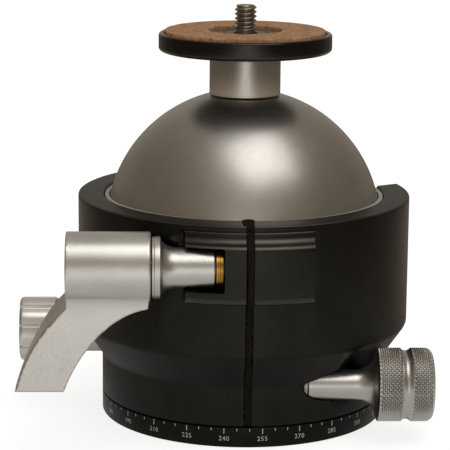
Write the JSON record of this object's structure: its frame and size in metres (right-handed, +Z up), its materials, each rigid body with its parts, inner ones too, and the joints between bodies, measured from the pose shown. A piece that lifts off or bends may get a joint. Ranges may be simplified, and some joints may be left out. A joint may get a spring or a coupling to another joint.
{
  "type": "tripod ball head",
  "caption": "Ball head for a tripod: a large ball with a camera platform, held in a split collar with a clamp lever, friction knob, pan lock and drop slot.",
  "frame": {"origin": "centre of the base's underside, at the mouth of the tripod screw's bushing", "axes": "+Z up through the ball's centre to the camera platform; +X towards the pan lock, -X towards the clamp lever and friction knob; -Y is the front with the clamp boss and the slit"},
  "size_m": [0.1178, 0.1056, 0.1195],
  "materials": {
    "anodised_black": "satin black anodised",
    "scale_black": "satin black anodised",
    "plate_black": "satin black",
    "ball_metal": "satin hard anodised bronze grey",
    "satin_silver": "satin bead blasted",
    "dark_steel": "dark turned steel",
    "cork": "ground cork",
    "brass": "turned brass",
    "foam": "matt foam strip",
    "liner_grey": "satin moulded",
    "seat_white": "satin moulded"
  },
  "bodies": {
    "base": {"pan_base": "scale_black", "tripod_bushing": "dark_steel", "base_screw_1": "dark_steel", "base_screw_2": "dark_steel", "base_screw_3": "dark_steel", "pan_bearing_washer": "seat_white", "pan_retainer": "dark_steel"},
    "housing": {"clamp_collar": "anodised_black", "ball_liner": "liner_grey", "slit_seal": "foam", "seat_spring": "dark_steel", "friction_insert": "brass"},
    "ball_seat": {"lower_ball_seat": "seat_white"},
    "ball": {"ball": "ball_metal"},
    "platform": {"neck": "ball_metal", "stem_stud": "dark_steel", "camera_platform": "plate_black", "cork_pad": "cork", "screw_ring": "dark_steel", "camera_screw": "dark_steel"},
    "clamp_thrust": {"thrust_washer": "brass"},
    "lever": {"clamp_lever": "satin_silver", "clamp_sleeve": "satin_silver", "clamp_screw": "dark_steel"},
    "friction_plug": {"friction_shoe": "seat_white"},
    "friction_control": {"friction_sleeve": "satin_silver", "friction_knob": "satin_silver", "friction_screw": "dark_steel"},
    "pan_lock_thrust": {"pan_lock_washer": "dark_steel"},
    "pan_lock": {"pan_lock_sleeve": "satin_silver", "pan_lock_knob": "satin_silver", "pan_lock_screw": "dark_steel", "pan_lock_grub_screw": "dark_steel"}
  },
  "joints": [
    {"name": "pan_turn", "type": "hinge", "parent": "base", "child": "housing", "pos_m": [0, 0, 0], "axis": [0, 0, 1], "continuous": true},
    {"name": "ball_swing", "type": "hinge", "parent": "housing", "child": "ball_seat", "pos_m": [0, 0, 0.0548], "axis": [0, 0, 1], "range_deg": [-180, 0]},
    {"name": "ball_tilt", "type": "hinge", "parent": "ball_seat", "child": "ball", "pos_m": [0, 0, 0.0548], "axis": [-0.5, 0.866, 0], "range_deg": [-55, 90]},
    {"name": "ball_spin", "type": "hinge", "parent": "ball", "child": "platform", "pos_m": [0, 0, 0.0548], "axis": [0, 0, 1], "continuous": true},
    {"name": "clamp_advance", "type": "slide", "parent": "housing", "child": "clamp_thrust", "axis": [1, 0, 0], "range_m": [-0.0002222, 0.0000138]},
    {"name": "lever_turn", "type": "hinge", "parent": "clamp_thrust", "child": "lever", "pos_m": [0, -0.0475, 0.0532], "axis": [1, 0, 0], "range_deg": [-80, 5]},
    {"name": "shoe_advance", "type": "slide", "parent": "housing", "child": "friction_plug", "axis": [1, 0, 0], "range_m": [-0.0015, 0]},
    {"name": "friction_turn", "type": "hinge", "parent": "friction_plug", "child": "friction_control", "pos_m": [0, 0, 0.0235], "axis": [1, 0, 0], "range_deg": [-540, 0]},
    {"name": "pan_lock_advance", "type": "slide", "parent": "housing", "child": "pan_lock_thrust", "axis": [1, 0, 0], "range_m": [0, 0.0015]},
    {"name": "pan_lock_turn", "type": "hinge", "parent": "pan_lock_thrust", "child": "pan_lock", "pos_m": [0, -0.0338, 0.0162], "axis": [1, 0, 0], "range_deg": [0, 540]}
  ],
  "couplings": [
    {"joint": "lever_turn", "follows": "clamp_advance", "rad_per_m": 6283.2},
    {"joint": "friction_turn", "follows": "shoe_advance", "rad_per_m": 6283.2},
    {"joint": "pan_lock_turn", "follows": "pan_lock_advance", "rad_per_m": 6283.2}
  ]
}
